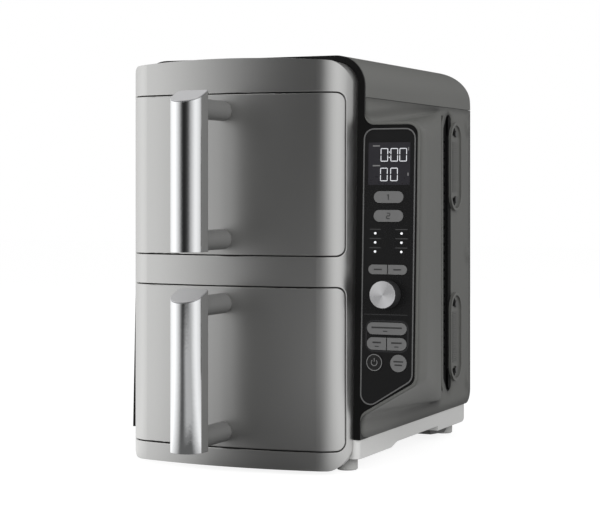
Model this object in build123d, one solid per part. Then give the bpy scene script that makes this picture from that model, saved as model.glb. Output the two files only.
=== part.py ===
from build123d import *
import math
import os

# A two-drawer air fryer. Millimetres, +Z up, the front faces -Y, the origin is under the middle of its box.

# Overall sizes
tower_width = 240.0
rear_room = 64.0
cover_wall = 2.5
fit = 0.3
floor_gap = 4.0
bottom_rail = 17.7
drawer_height = 151.0
middle_rail = 28.8
top_rail = 28.5
band_above = 8.2
rim_lean = 2.2

# Front bezel and drawer fronts
band_side = 6.65
stile_width = 12.35
bezel_depth = 50.0
bezel_wall = 3.5
bow_radius = 455.0
bezel_crown = 4.5
plan_corner = 31.0
outline_corner_front = 12.0
outline_corner_rim = 25.0
outline_ease = 0.1
stile_depth = 23.6
drawer_corner = 8.5
drawer_seam = 1.0
seam_round = 0.8
edge_margin = 0.01

# Drawer pan, cavity and what fits in them
opening_margin = 6.0
backplate_thickness = 4.0
backplate_setback = 2.0
pan_gap = 3.5
pan_depth = 224.0
pan_height = 116.0
pan_wall = 1.6
pan_corner = 9.0
pan_floor_corner = 8.0
pan_lip = 2.0
runner_height = 4.0
runner_width = 8.0
runner_spread = 140.0
running_gap = 0.3
seal_thickness = 2.5
seal_depth = 5.0
crisper_gap = 2.0
crisper_rise = 14.0
crisper_thickness = 2.0
crisper_foot_radius = 4.0
crisper_slot_length = 22.0
crisper_slot_width = 5.0
crisper_rows = 8
crisper_columns = 5

# Handles
handle_projection = 85.0
handle_offset = -3.0
handle_width = 31.0
handle_thickness = 28.0
handle_bow = 14.0
handle_corner = 4.0
handle_chrome_depth = 12.0
handle_foot = 5.4
handle_top_gap = 11.5
handle_slant = 22.0
arm_radius = 9.5
arm_low = 15.0
arm_top_gap = 16.0
handle_screw_radius = 2.5
handle_screw_length = 24.0
screw_gap = 0.2

# Housing covers and base
housing_corner = 30.0
housing_rear_corner = 38.0
housing_low_corner = 15.0
top_cover_height = 40.2
cover_seam = 0.4
base_height = 30.5
base_inset = 1.0
base_end = 13.4
base_front_low = 12.5
base_rear_low = 16.5
base_step_start = 72.0
base_step_end = 88.0
base_block_start = 207.0
base_block_low = 11.7
base_rear_corner = 13.0
base_corner = 6.0
base_floor = 20.0
foot_radius = 10.0
foot_inset = 20.0
front_foot = 6.0
rear_foot = 33.0

# Console frame and control pod
flange_thickness = 2.5
frame_depth = 9.0
pod_reach = 55.8
pod_top_drop = 63.4
pod_low_rise = 21.2
pod_slant = 30.5
pod_corner = 12.0
pod_root = 10.0
pod_lip = 16.0
pod_middle = 110.0
pod_middle_reach = 34.0
pod_middle_lift = 8.2
pod_middle_drop = 4.0
pod_middle_slant = 22.0
pod_end_gap = 7.0
pod_end_reach = 1.2
pod_end_lift = 19.2
pod_end_drop = 8.0
pod_closure = 15.0
pod_middle_root = 9.0
pod_middle_corner = 18.0
root_margin = 1.2
groove_place = 91.6
groove_width = 18.0
groove_low_rise = 41.5
groove_high_drop = 69.2
groove_hook = 16.0
groove_hook_angle = 35.0
grille_thickness = 2.0
grille_margin = 4.0
grille_collar = 1.2
grille_slit = 3.0
grille_pitch = 9.0

# Spacers on the side of the housing
spacer_width = 36.0
spacer_height = 94.0
spacer_thickness = 3.2
spacer_recess = 2.2
spacer_border = 3.0
spacer_inset = 54.5
spacer_low_rise = 75.5
spacer_high_drop = 102.2
spacer_screw_radius = 2.0
spacer_screw_head = 3.6

# Rear cover
dome_depth = 14.0
dome_margin = 26.0
dome_taper = 10.0
rear_bumper = 14.0
rear_bumper_radius = 8.0
vent_length = 96.0
vent_width = 4.0
vent_pitch = 9.0
vent_rows = 9
inlet_radius = 9.0
inlet_flange = 14.0
inlet_length = 20.0
inlet_bore = 4.0
inlet_offset = 60.0
inlet_level = 62.0
cover_screw_radius = 1.8
cover_screw_head = 3.6
cover_screw_length = 10.0
boss_size = 9.0

# Cavity, heater, fan and motor
liner_wall = 1.5
pan_back_room = 15.6
fan_room = 32.0
guard_thickness = 1.2
guard_gap = 3.0
guard_leg_radius = 3.5
guard_hole_radius = 3.6
guard_pitch = 12.0
heater_radius = 58.0
heater_tube = 3.3
heater_pin = 4.0
heater_gap = 12.0
heater_terminal_spread = 30.0
heater_collar = 7.0
fan_radius = 46.0
fan_gap = 16.0
fan_thickness = 9.0
fan_hub_radius = 11.0
fan_blades = 8
blade_thickness = 1.6
shaft_radius = 3.0
shaft_fit = 0.05
shaft_length = 34.0
motor_radius = 26.0
motor_length = 36.0
motor_flange_radius = 36.0
motor_foot_radius = 4.0
motor_feet = 3
motor_bore = 29.0
sensor_radius = 2.5
sensor_side_gap = 23.0
sensor_rise = 44.0

# Control panel, measured on the leaning face from its middle, with levels for its drawn height
panel_lift = 1.25
panel_left = 0.2
panel_right = 4.4
panel_top_margin = 7.05
panel_low_margin = 2.55
panel_slant = 32.0
panel_drawn_height = 264.5
panel_corner = 10.0
trim_width = 1.2
trim_proud = 0.2
glass_thickness = 2.0
wing_plate = 3.0
board_gap = 5.0
board_thickness = 1.6
board_margin = 11.0
board_top = 122.0
board_bottom = -96.0
board_post_levels = (69.0, -14.0)
display_width = 42.5
display_height = 41.0
display_level = 96.5
button_proud = 1.0
button_travel = 1.0
button_gap = 0.25
button_stem_radius = 1.8
stem_clear = 0.3
switch_size = 6.0
light_radius = 1.1
light_spread = 13.0
light_levels = (32.5, 24.0, 15.5)
knob_radius = 13.35
knob_height = 13.0
knob_lift = 0.6
knob_level = -24.0
knob_taper = 0.8
encoder_size = 13.0
encoder_bush = 4.5
pill_gap = 1.0

# Power board and drawer switches
power_board_width = 120.0
power_board_length = 110.0
power_board_place = 60.0
power_board_rise = 6.0
power_board_inset = 12.0
relay_width = 32.0
relay_height = 18.0
capacitor_count = 3
capacitor_radius = 7.0
capacitor_height = 16.0
capacitor_pitch = 24.0
coil_width = 18.0
coil_height = 14.0
drawer_switch_width = 9.0
drawer_switch_length = 20.0
drawer_switch_height = 26.0

# Worked-out places
lower_base = floor_gap + bottom_rail
upper_base = lower_base + drawer_height + middle_rail
drawer_bases = {"lower": lower_base, "upper": upper_base}
bezel_top = upper_base + drawer_height + top_rail
housing_top = bezel_top + band_above
seam_level = housing_top - top_cover_height
bezel_width = tower_width - 2 * band_side
crown_radius = (bezel_width**2 / 4 + bezel_crown**2) / (2 * bezel_crown)
opening_width = bezel_width - 2 * stile_width
guard_place = pan_depth - stile_depth - backplate_setback + pan_back_room
heater_place = guard_place + heater_gap
fan_place = guard_place + fan_gap
liner_end = guard_place + fan_room
housing_depth = liner_end + rear_room
front_reach = bezel_depth + handle_projection
rear_reach = dome_depth + rear_bumper
rim_y = (front_reach - housing_depth - rear_reach) / 2
tower_x = -pod_reach / 2
side_x = tower_x + tower_width / 2
back_y = rim_y + housing_depth
bow_y = rim_y - bezel_depth
handle_x = tower_x + handle_offset
handle_y = bow_y - handle_projection
handle_split = handle_y + handle_chrome_depth
lean = math.radians(rim_lean)
far = 2 * (tower_width + housing_depth + housing_top)
opening_height = drawer_height - 2 * opening_margin
handle_rise = drawer_height - handle_top_gap
arm_high = drawer_height - arm_top_gap
sensor_offset = opening_width / 2 - sensor_side_gap
edge_y = rim_y - stile_depth
pan_front = edge_y - backplate_setback
frame_back = rim_y + frame_depth
liner_back = rim_y + liner_end
inner_wall = cover_wall + fit
pod_top = housing_top - pod_top_drop
pod_low = base_height + pod_low_rise
pod_middle_top = pod_top + pod_middle_lift
pod_middle_low = pod_low - pod_middle_drop
pod_end_top = pod_top + pod_end_lift
pod_end_low = pod_low - pod_end_drop
groove_start = housing_depth - groove_place
groove_low = base_height + groove_low_rise
groove_high = housing_top - groove_high_drop
pod_end = groove_start - pod_end_gap
spacer_place = housing_depth - spacer_inset
spacer_levels = (base_height + spacer_low_rise, housing_top - spacer_high_drop)
panel_width = pod_reach + panel_left - panel_right
panel_offset = (pod_reach - panel_left - panel_right) / 2
panel_level = (pod_top + pod_low) / 2 + panel_lift
panel_top = (pod_top - pod_low) / 2 - panel_top_margin
panel_low = panel_low_margin - (pod_top - pod_low) / 2
panel_stretch = (panel_top - panel_low) / panel_drawn_height
board_width = panel_width - board_margin
standing = (Align.CENTER, Align.CENTER, Align.MIN)

rim_plane = Plane(
    origin=(tower_x, rim_y, seam_level),
    x_dir=(1, 0, 0),
    z_dir=(0, -math.cos(lean), math.sin(lean)),
)
panel_plane = Plane(
    origin=(side_x + panel_offset, rim_y - (seam_level - panel_level) * math.tan(lean), panel_level),
    x_dir=(1, 0, 0),
    z_dir=(0, -math.cos(lean), math.sin(lean)),
)


def block(x0, x1, y0, y1, z0, z1):
    """A box between its six limits."""
    return Pos((x0 + x1) / 2, (y0 + y1) / 2, (z0 + z1) / 2) * Box(x1 - x0, y1 - y0, z1 - z0)


def rod(start, direction, radius, length):
    """A round bar from a point along a direction."""
    bar = Cylinder(radius, length, align=standing)
    return Plane(origin=start, z_dir=direction) * bar


def upright(face, z0, z1):
    """A face drawn in plan, raised between two levels."""
    return extrude(Pos(0, 0, z0) * face, amount=z1 - z0)


def across(face, x0, x1):
    """A face drawn from the side (y, z), drawn out between two places in X."""
    return extrude(Plane((x0, 0, 0), x_dir=(0, 1, 0), z_dir=(1, 0, 0)) * face, amount=x1 - x0)


def along(face, y0, y1):
    """A face drawn from the front (x, z), drawn out between two places in Y."""
    return extrude(Plane((0, y1, 0), x_dir=(1, 0, 0), z_dir=(0, -1, 0)) * face, amount=y1 - y0)


def polygon(points):
    return make_face(Polyline(*points, close=True))


def rounded(face, corner, radius):
    """The face with the corner nearest to a point rounded."""
    return fillet(face.vertices().sort_by_distance((*corner, 0))[0], radius)


def rectangle(x0, x1, z0, z1):
    return Pos((x0 + x1) / 2, (z0 + z1) / 2) * Rectangle(x1 - x0, z1 - z0)


def soft_rectangle(x0, x1, z0, z1, radius):
    return Pos((x0 + x1) / 2, (z0 + z1) / 2) * RectangleRounded(x1 - x0, z1 - z0, radius)


def before_rim(behind):
    """Everything in front of the leaning rim plane, moved back by a distance."""
    return rim_plane * Pos(0, 0, far / 2 - behind) * Box(far, far, far)


def on_panel(face, low, high):
    """A face drawn on the control panel, raised between two heights over its front."""
    return extrude(panel_plane * Pos(0, 0, low) * face, amount=high - low)


# Front bezel and the two drawer fronts share one bowed outer form
def bezel_plan(inset):
    width = bezel_width - 2 * inset
    depth = 2 * bezel_depth
    apex = bow_y + inset
    radius = bow_radius - inset
    sheet = Pos(tower_x, apex + depth / 2) * Rectangle(width, depth)
    sheet = sheet & (Pos(tower_x, apex + radius) * Circle(radius))
    return fillet(sheet.vertices().sort_by(Axis.Y)[:2], plan_corner - inset)


def bezel_section(y, corner):
    """The bezel's outline seen from the front, with a crowned upper edge."""
    width = bezel_width + outline_ease
    height = bezel_top + bezel_crown - floor_gap
    sheet = Pos(0, height / 2) * Rectangle(width, height)
    sheet = sheet & (Pos(0, height - crown_radius) * Circle(crown_radius))
    place = Plane((tower_x, y, floor_gap), x_dir=(1, 0, 0), z_dir=(0, -1, 0))
    return place * fillet(sheet.vertices(), corner)


def bezel_form():
    bowed = upright(bezel_plan(0), floor_gap - bezel_wall, bezel_top + bezel_crown + bezel_wall)
    front = bezel_section(bow_y - bezel_wall, outline_corner_front)
    rear = bezel_section(frame_back, outline_corner_rim)
    return bowed & loft([front, rear]) & before_rim(0)


def drawer_profile(base, grow):
    gap = drawer_seam / 2 - grow
    low = base + gap
    high = base + drawer_height - gap
    back = edge_y + grow
    face = rectangle(bow_y - bezel_depth, back, low, high)
    for level in (low, high):
        face = rounded(face, (back, level), drawer_corner + grow)
    return face


def opening_block(base, front, back):
    half = opening_width / 2
    low = base + opening_margin
    return block(tower_x - half, tower_x + half, front, back, low, low + opening_height)


def soften_seam(shape, base, grow):
    """The shape with the edge that runs round one drawer front's seam rounded off."""
    low = base + drawer_seam / 2 - grow - edge_margin
    high = base + drawer_height - drawer_seam / 2 + grow + edge_margin
    back = edge_y + grow

    def near_seam(edge):
        return all(low < end.Z < high and end.Y < back + edge_margin for end in edge.vertices())

    edges = shape.edges().filter_by(near_seam)
    sides = edges.filter_by(Axis.Z).filter_by_position(Axis.Y, back - edge_margin, back + edge_margin)
    return fillet(edges.filter_by(GeomType.LINE, reverse=True) + sides, seam_round)


def make_front_bezel(form):
    bezel = form
    for base in drawer_bases.values():
        bezel -= across(drawer_profile(base, drawer_seam), -far, far)
    for base in drawer_bases.values():
        bezel = soften_seam(bezel, base, drawer_seam)
        bezel -= opening_block(base, bow_y, rim_y + frame_depth)
    rails = (
        (floor_gap, lower_base),
        (lower_base + drawer_height, upper_base),
        (upper_base + drawer_height, bezel_top),
    )
    half = bezel_width / 2 - outline_corner_rim
    for low, high in rails:
        hollow = upright(bezel_plan(bezel_wall), low + bezel_wall, high - bezel_wall)
        bezel -= hollow & block(tower_x - half, tower_x + half, bow_y, rim_y + bezel_depth, low, high)
    return bezel


# Drawers: bowed front, backplate, seal, pan, crisper plate and handle
def drawer_limits(base):
    return base + drawer_seam / 2, base + drawer_height - drawer_seam / 2


def handle_arm_levels(base):
    return base + arm_low, base + arm_high


def make_drawer_front(form, base):
    low, high = drawer_limits(base)
    front = soften_seam(form & across(drawer_profile(base, 0), -far, far), base, 0)
    front -= upright(bezel_plan(bezel_wall), low + bezel_wall, high - bezel_wall)
    for level in handle_arm_levels(base):
        start = (handle_x, bow_y - bezel_wall, level)
        front -= rod(start, (0, 1, 0), handle_screw_radius + screw_gap, 3 * bezel_wall)
    return front


def make_backplate(base):
    low, high = drawer_limits(base)
    plate = upright(bezel_plan(bezel_wall + fit), low + bezel_wall, high - bezel_wall)
    return plate & block(-far, far, pan_front - backplate_thickness, pan_front, 0, housing_top)


def make_seal(base):
    half = opening_width / 2 - 2 * fit
    low = base + opening_margin + 2 * fit
    high = low + opening_height - 4 * fit
    ring = rectangle(tower_x - half, tower_x + half, low, high)
    inside = half - seal_thickness
    ring -= rectangle(tower_x - inside, tower_x + inside, low + seal_thickness, high - seal_thickness)
    return along(ring, pan_front, pan_front + seal_depth)


def pan_floor_level(base):
    return base + opening_margin + runner_height


def pan_half_width():
    return opening_width / 2 - pan_gap


def pan_mass(base, inset):
    half = pan_half_width() - inset
    low = pan_floor_level(base) + inset
    top = pan_floor_level(base) + pan_height
    plan = soft_rectangle(
        tower_x - half, tower_x + half, pan_front + inset, pan_front + pan_depth - inset, pan_corner - inset
    )
    mass = upright(plan, low, top)
    return fillet(mass.faces().sort_by(Axis.Z)[0].edges(), pan_floor_corner - inset)


def make_pan(base):
    top = pan_floor_level(base) + pan_height
    half = pan_half_width() + pan_lip
    lip_front = pan_front + seal_depth + pan_lip
    lip_back = pan_front + pan_depth + pan_lip
    lip = block(tower_x - half, tower_x + half, lip_front, lip_back, top - pan_wall, top)
    hollow = pan_mass(base, pan_wall)
    well = upright(
        rectangle(
            tower_x - pan_half_width() + pan_wall,
            tower_x + pan_half_width() - pan_wall,
            lip_front,
            pan_front + pan_depth - pan_wall,
        ),
        top - pan_wall,
        top,
    )
    return (pan_mass(base, 0) + (lip - well)) - hollow


def make_crisper(base):
    inset = pan_wall + crisper_gap
    half = pan_half_width() - inset
    front = pan_front + inset
    back = pan_front + pan_depth - inset
    floor = pan_floor_level(base) + pan_wall
    low = floor + crisper_rise
    sheet = soft_rectangle(tower_x - half, tower_x + half, front, back, pan_corner - inset)
    step_x = 2 * half / (crisper_columns + 1)
    step_y = (back - front) / (crisper_rows + 1)
    slot = SlotOverall(crisper_slot_length, crisper_slot_width)
    middle = Pos(tower_x, (front + back) / 2)
    sheet -= [middle * place * slot for place in GridLocations(step_x, step_y, crisper_columns, crisper_rows)]
    plate = upright(sheet, low, low + crisper_thickness)
    reach_x = half - pan_corner
    reach_y = (back - front) / 2 - pan_corner
    for place in GridLocations(2 * reach_x, 2 * reach_y, 2, 2):
        foot = Cylinder(crisper_foot_radius, crisper_rise, align=standing)
        plate += Pos(tower_x, (front + back) / 2, floor) * place * foot
    return plate


def handle_section():
    """Oval in front, square with soft corners behind."""
    half = handle_width / 2
    back = handle_y + handle_thickness
    middle = handle_y + handle_bow
    behind = rectangle(handle_x - half, handle_x + half, middle, back)
    for side in (-half, half):
        behind = rounded(behind, (handle_x + side, back), handle_corner)
    return behind + Pos(handle_x, middle) * Ellipse(half, handle_bow)


def handle_form(base):
    bar = upright(handle_section(), base + handle_foot, base + drawer_height + handle_thickness)
    start = Pos(handle_x, handle_y, base + handle_rise) * Rot(handle_slant, 0, 0)
    return bar - start * Pos(0, 0, far / 2) * Box(far, far, far)


def make_handle_bar(base):
    return handle_form(base) & block(-far, far, -far, handle_split, 0, far)


def make_handle_grip(base):
    grip = handle_form(base) & block(-far, far, handle_split, far, 0, far)
    arm_start = handle_y + (handle_bow + handle_thickness) / 2
    bore = handle_screw_length - bezel_wall
    for level in handle_arm_levels(base):
        grip += rod((handle_x, arm_start, level), (0, 1, 0), arm_radius, bow_y - arm_start)
        grip -= rod((handle_x, bow_y - bore, level), (0, 1, 0), handle_screw_radius + screw_gap, bore)
    return grip


def make_handle_screws(base):
    screws = []
    head = bow_y + bezel_wall + screw_gap
    for level in handle_arm_levels(base):
        tip = (handle_x, head - handle_screw_length, level)
        shank = rod(tip, (0, 1, 0), handle_screw_radius, handle_screw_length)
        cap = rod((handle_x, head, level), (0, 1, 0), 2 * handle_screw_radius, handle_screw_radius)
        screws.append(shank + cap)
    return screws


# Control pod and console frame
def pod_section(place, reach, top, low, slant, corner, root):
    """The pod's outline seen from the front: shelf, outer side and slanting lower edge."""
    rise = reach * math.tan(math.radians(slant))
    high_root = top + root_margin * root
    low_root = low - root_margin * root
    points = (
        (-cover_wall, high_root),
        (0, high_root),
        (0, top),
        (reach, top),
        (reach, low + rise),
        (0, low),
        (0, low_root),
        (-cover_wall, low_root),
    )
    face = polygon(points)
    face = rounded(face, (0, top), root)
    face = rounded(face, (reach, top), corner)
    face = rounded(face, (reach, low + rise), corner)
    face = rounded(face, (0, low), root)
    return Plane((side_x, rim_y + place, 0), x_dir=(1, 0, 0), z_dir=(0, -1, 0)) * face


def pod_hollow_section(place, reach, top, low, slant, corner):
    """The room inside the pod, which reaches through the side wall."""
    slope = math.tan(math.radians(slant))
    inside = 2 * cover_wall
    points = ((-inside, top), (reach, top), (reach, low + reach * slope), (-inside, low - inside * slope))
    face = rounded(polygon(points), (reach, top), corner)
    face = rounded(face, (reach, low + reach * slope), corner)
    return Plane((side_x, rim_y + place, 0), x_dir=(1, 0, 0), z_dir=(0, -1, 0)) * face


def pod_form():
    lip = pod_section(pod_lip, pod_reach, pod_top, pod_low, pod_slant, pod_corner, pod_root)
    middle = pod_section(
        pod_middle,
        pod_middle_reach,
        pod_middle_top,
        pod_middle_low,
        pod_middle_slant,
        pod_middle_corner,
        pod_middle_root,
    )
    small = pod_end_reach / 3
    end = pod_section(pod_end, pod_end_reach, pod_end_top, pod_end_low, 0, small, small)
    return extrude(lip, amount=pod_lip + bezel_depth) + loft([lip, middle, end])


def pod_hollow():
    wall = cover_wall
    low = pod_low + wall / math.cos(math.radians(pod_slant))
    lip = pod_hollow_section(pod_lip, pod_reach - wall, pod_top - wall, low, pod_slant, pod_corner - wall)
    middle = pod_hollow_section(
        pod_middle,
        pod_middle_reach - wall,
        pod_middle_top - wall,
        pod_middle_low + wall / math.cos(math.radians(pod_middle_slant)),
        pod_middle_slant,
        pod_middle_corner - wall,
    )
    small = pod_end_reach / 3
    place = pod_end - pod_closure
    end = pod_hollow_section(place, pod_end_reach, pod_end_top - 2 * wall, pod_end_low + 2 * wall, 0, small)
    return extrude(lip, amount=pod_lip + bezel_depth) + loft([lip, middle, end])


def frame_face(grow, root=0):
    """The black frame's outline seen from the front: a band round the bezel and a wing for the controls."""
    half = tower_width / 2 + grow
    band = rectangle(tower_x - half, tower_x + half, base_height - grow, housing_top + grow)
    for side in (-half, half):
        band = rounded(band, (tower_x + side, housing_top + grow), housing_corner + grow)
    inset = cover_wall + fit - grow
    reach = pod_reach - inset
    top = pod_top - inset
    low = pod_low + inset / math.cos(math.radians(pod_slant))
    rise = reach * math.tan(math.radians(pod_slant))
    overlap = 2 * cover_wall + 2 * wing_plate
    tail = overlap * math.tan(math.radians(pod_slant))
    wing = polygon(((-overlap, top), (reach, top), (reach, low + rise), (-overlap, low - tail)))
    wing = rounded(wing, (reach, top), pod_corner - inset)
    wing = rounded(wing, (reach, low + rise), pod_corner - inset)
    face = band + Pos(side_x, 0) * wing
    if root:
        face = rounded(face, (side_x + grow, top), root)
        face = rounded(face, (side_x + grow, low + grow * math.tan(math.radians(pod_slant))), root)
    return face


def frame_envelope():
    return along(frame_face(fit, pod_root), bow_y, rim_y + bezel_depth) & before_rim(flange_thickness)


def panel_face(inset):
    half = panel_width / 2 - inset
    top = panel_top - inset
    slope = math.tan(math.radians(panel_slant))
    low = panel_low + inset / math.cos(math.radians(panel_slant)) + inset * slope
    face = polygon(((-half, top), (half, top), (half, low + 2 * half * slope), (-half, low)))
    for corner in ((-half, top), (half, top), (half, low + 2 * half * slope), (-half, low)):
        face = rounded(face, corner, panel_corner - inset)
    return face


def half_pill(width, height, side, grow):
    face = SlotOverall(width + 2 * grow, height + 2 * grow)
    near = pill_gap / 2 - grow
    return face & Pos(side * (near + width / 2), 0) * Rectangle(width, 2 * height)


def whole_pill(width, height, side, grow):
    return SlotOverall(width + 2 * grow, height + 2 * grow)


def disc(width, height, side, grow):
    return Circle(width / 2 + grow)


# Each button: outline, place across, place up, width, height, side
buttons = {
    "zone_one_button": (whole_pill, 0.0, 66.0, 29.0, 11.0, 0),
    "zone_two_button": (whole_pill, 0.0, 48.6, 29.0, 11.0, 0),
    "temperature_button": (half_pill, 0.0, -1.0, 38.0, 9.0, -1),
    "time_button": (half_pill, 0.0, -1.0, 38.0, 9.0, 1),
    "both_zones_button": (whole_pill, 0.0, -55.4, 39.0, 11.2, 0),
    "sync_button": (half_pill, 0.0, -69.5, 39.0, 11.6, -1),
    "match_button": (half_pill, 0.0, -69.5, 39.0, 11.6, 1),
    "power_button": (disc, -11.9, -87.0, 16.0, 16.0, 0),
    "start_button": (disc, 11.9, -87.0, 16.0, 16.0, 0),
}
plate_back = -glass_thickness - wing_plate
board_front = plate_back - board_gap


def button_face(name, grow):
    outline, place_x, level, width, height, side = buttons[name]
    return Pos(place_x, level * panel_stretch) * outline(width, height, side, grow)


def button_middle(name):
    outline, place_x, level, width, height, side = buttons[name]
    return place_x + side * width / 4, level * panel_stretch


def stem_end():
    return plate_back - (board_gap - switch_height() - button_travel - stem_clear)


def switch_height():
    return board_gap / 2


def make_button(name):
    body = on_panel(button_face(name, 0), plate_back, button_proud)
    stem = on_panel(Pos(*button_middle(name)) * Circle(button_stem_radius), stem_end(), plate_back)
    return body + stem


def light_places():
    return [(side * light_spread, level * panel_stretch) for level in light_levels for side in (-1, 1)]


def panel_holes(low, high):
    holes = [on_panel(button_face(name, button_gap), low, high) for name in buttons]
    light_hole = Circle(light_radius + button_gap)
    holes += [on_panel(Pos(*place) * light_hole, low, high) for place in light_places()]
    holes.append(on_panel(Pos(0, knob_level * panel_stretch) * Circle(encoder_bush + fit), low, high))
    return holes


def make_console_frame():
    plate = along(frame_face(0, pod_root), bow_y, rim_y + bezel_depth) & before_rim(flange_thickness)
    plate -= before_rim(0)
    body = along(frame_face(-inner_wall), bow_y, frame_back) - before_rim(flange_thickness)
    frame = plate + body
    for base in drawer_bases.values():
        frame -= opening_block(base, bow_y, frame_back)
    pod_side = rectangle(side_x + fit, side_x + pod_reach, 0, housing_top)
    hollow = frame_face(-inner_wall - wing_plate) & pod_side
    frame -= along(hollow, bow_y, frame_back) - before_rim(glass_thickness + wing_plate)
    frame -= on_panel(panel_face(0), -glass_thickness, bezel_depth)
    frame -= panel_holes(2 * plate_back, 0)
    window = Rectangle(display_width + 2 * fit, display_height + 2 * fit)
    frame -= on_panel(Pos(0, display_level * panel_stretch) * window, 2 * plate_back, 0)
    for place_x, place_y in board_post_places():
        frame += on_panel(Pos(place_x, place_y) * Circle(button_stem_radius), board_front, plate_back)
    return frame


def board_post_places():
    across_x = board_width / 2 - 2 * button_stem_radius
    return [(side * across_x, level * panel_stretch) for level in board_post_levels for side in (-1, 1)]


def make_control_trim():
    ring = panel_face(0) - panel_face(trim_width)
    return on_panel(ring, -glass_thickness, trim_proud)


def make_control_glass():
    glass = on_panel(panel_face(trim_width + button_gap / 2), -glass_thickness, 0)
    return glass - panel_holes(-2 * glass_thickness, glass_thickness)


def make_display():
    face = Pos(0, display_level * panel_stretch) * Rectangle(display_width, display_height)
    return on_panel(face, board_front, -glass_thickness)


def make_control_board():
    low = board_bottom * panel_stretch
    high = board_top * panel_stretch
    face = rectangle(-board_width / 2, board_width / 2, low, high)
    return on_panel(face, board_front - board_thickness, board_front)


def make_button_switches():
    switches = []
    for name in buttons:
        face = Pos(*button_middle(name)) * Rectangle(switch_size, switch_size)
        switches.append(on_panel(face, board_front, board_front + switch_height()))
    return switches


def make_indicator_lights():
    light = Circle(light_radius)
    return [on_panel(Pos(*place) * light, board_front, trim_proud) for place in light_places()]


def make_knob():
    outer = Pos(0, knob_level * panel_stretch) * Circle(knob_radius)
    skirt = on_panel(outer, knob_lift, knob_height / 2)
    top = extrude(
        panel_plane * Pos(0, 0, knob_height / 2) * outer,
        amount=knob_height / 2,
        taper=math.degrees(math.atan2(knob_taper, knob_height / 2)),
    )
    shaft = on_panel(Pos(0, knob_level * panel_stretch) * Circle(shaft_radius), board_front + fit, knob_lift)
    return skirt + top + shaft


def make_encoder():
    square = Pos(0, knob_level * panel_stretch) * Rectangle(encoder_size, encoder_size)
    body = on_panel(square, board_front, plate_back - fit)
    middle = Pos(0, knob_level * panel_stretch)
    bush = on_panel(middle * Circle(encoder_bush), plate_back - fit, 0)
    bore = on_panel(middle * Circle(shaft_radius + shaft_fit), board_front, knob_lift)
    return (body + bush) - bore


# Housing covers
def housing_face(inset):
    half = tower_width / 2 - inset
    top = housing_top - inset
    face = rectangle(tower_x - half, tower_x + half, base_height - inset, top)
    for side in (-half, half):
        face = rounded(face, (tower_x + side, top), housing_corner - inset)
    return face


def housing_profile(inset):
    back = back_y - inset
    top = housing_top - inset
    low = base_height - inset
    face = rectangle(bow_y, back, low, top)
    face = rounded(face, (back, top), housing_rear_corner - inset)
    return face if inset else rounded(face, (back, low), housing_low_corner)


def housing_shell():
    outer = along(housing_face(0), bow_y, back_y) & across(housing_profile(0), -far, far)
    inner = along(housing_face(cover_wall), bow_y, back_y) & across(housing_profile(cover_wall), -far, far)
    return (outer - inner) - frame_envelope()


def side_limit(side, inset):
    return tower_x + side * (tower_width / 2 - inset)


def boss_levels():
    low = base_height + housing_low_corner + boss_size
    high = seam_level - 2 * boss_size
    return low, (low + high) / 2, high


def screw_places():
    reach = tower_width / 2 - cover_wall - boss_size / 2
    return [(tower_x + side * reach, level) for side in (-1, 1) for level in boss_levels()]


def add_bosses(cover, side):
    inner = side_limit(side, cover_wall)
    near = inner - side * boss_size
    end = back_y - cover_wall
    for level in boss_levels():
        half = boss_size / 2
        low_x, high_x = sorted((inner, near))
        boss = block(low_x, high_x, end - cover_screw_length, end, level - half, level + half)
        hole_x = (inner + near) / 2
        start = (hole_x, end - cover_screw_length, level)
        hole = rod(start, (0, 1, 0), cover_screw_radius + screw_gap, far)
        cover += boss - hole
    return cover


def make_left_side_cover(shell):
    wall = shell & block(-far, side_limit(-1, cover_wall), -far, far, 0, seam_level)
    return add_bosses(wall, -1)


def groove_face(grow):
    middle = rim_y + groove_start + groove_width / 2
    width = groove_width + 2 * grow
    face = Pos(middle, (groove_low + groove_high) / 2) * Rectangle(width, groove_high - groove_low)
    for level, turn in ((groove_low, -90 + groove_hook_angle), (groove_high, 90 - groove_hook_angle)):
        hook = Pos(groove_hook / 2, 0) * SlotCenterToCenter(groove_hook, width)
        face += Pos(middle, level) * Rot(0, 0, turn) * hook
    return face


def make_right_side_cover(shell):
    wall = shell & block(side_limit(1, cover_wall), far, -far, far, 0, seam_level)
    cover = (wall + pod_form()) - pod_hollow() - before_rim(0) - frame_envelope()
    cover -= across(groove_face(0), side_limit(1, cover_wall), far)
    for place_y, level in spacer_screw_places():
        start = (side_x - cover_wall, place_y, level)
        cover -= rod(start, (1, 0, 0), spacer_screw_radius + screw_gap, 2 * cover_wall)
    return add_bosses(cover, 1)


def make_intake_grille():
    back = side_limit(1, cover_wall)
    sheet = groove_face(grille_margin)
    middle = Pos(rim_y + groove_start + groove_width / 2, (groove_low + groove_high) / 2)
    count = int((groove_high - groove_low) / grille_pitch)
    slit = Rectangle(groove_width - 2 * cover_wall, grille_slit)
    sheet -= [middle * place * slit for place in GridLocations(0, grille_pitch, 1, count)]
    collar = groove_face(-fit) - groove_face(-fit - grille_collar)
    return across(sheet, back - grille_thickness, back) + across(collar, back, side_x)


def spacer_screw_places():
    reach = spacer_height / 2 - spacer_width / 3
    place_y = rim_y + spacer_place
    return [(place_y, level + end * reach) for level in spacer_levels for end in (-1, 1)]


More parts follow.
